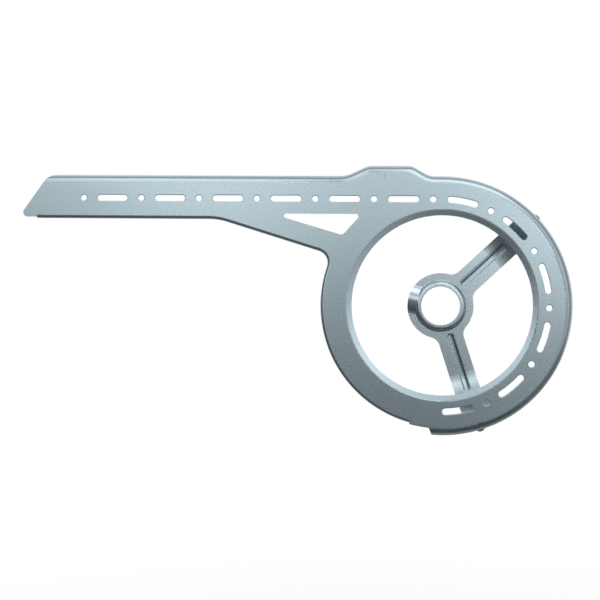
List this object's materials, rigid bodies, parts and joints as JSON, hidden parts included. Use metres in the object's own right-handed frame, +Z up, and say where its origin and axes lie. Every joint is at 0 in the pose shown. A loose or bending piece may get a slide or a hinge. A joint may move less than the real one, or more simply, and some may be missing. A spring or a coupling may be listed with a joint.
{
  "type": "bicycle chain guard",
  "caption": "Pressed sheet-steel chain guard: a ring with a deep outer flange, a long slotted arm, and a riveted two-armed bracket with a bottom bracket bore.",
  "frame": {"origin": "centre of the bottom bracket bore, in the front plane of the bracket's raised collar", "axes": "+X forward along the bicycle, away from the arm; +Y inwards, towards the bicycle's frame; +Z up"},
  "size_m": [0.4972, 0.0309, 0.2412],
  "materials": {
    "guard_paint": "satin",
    "bracket_plating": "satin",
    "rivet_steel": "satin"
  },
  "bodies": {
    "root": {"guard_shell": "guard_paint", "mounting_bracket": "bracket_plating", "upper_rivet": "rivet_steel", "lower_rivet": "rivet_steel"}
  },
  "joints": []
}
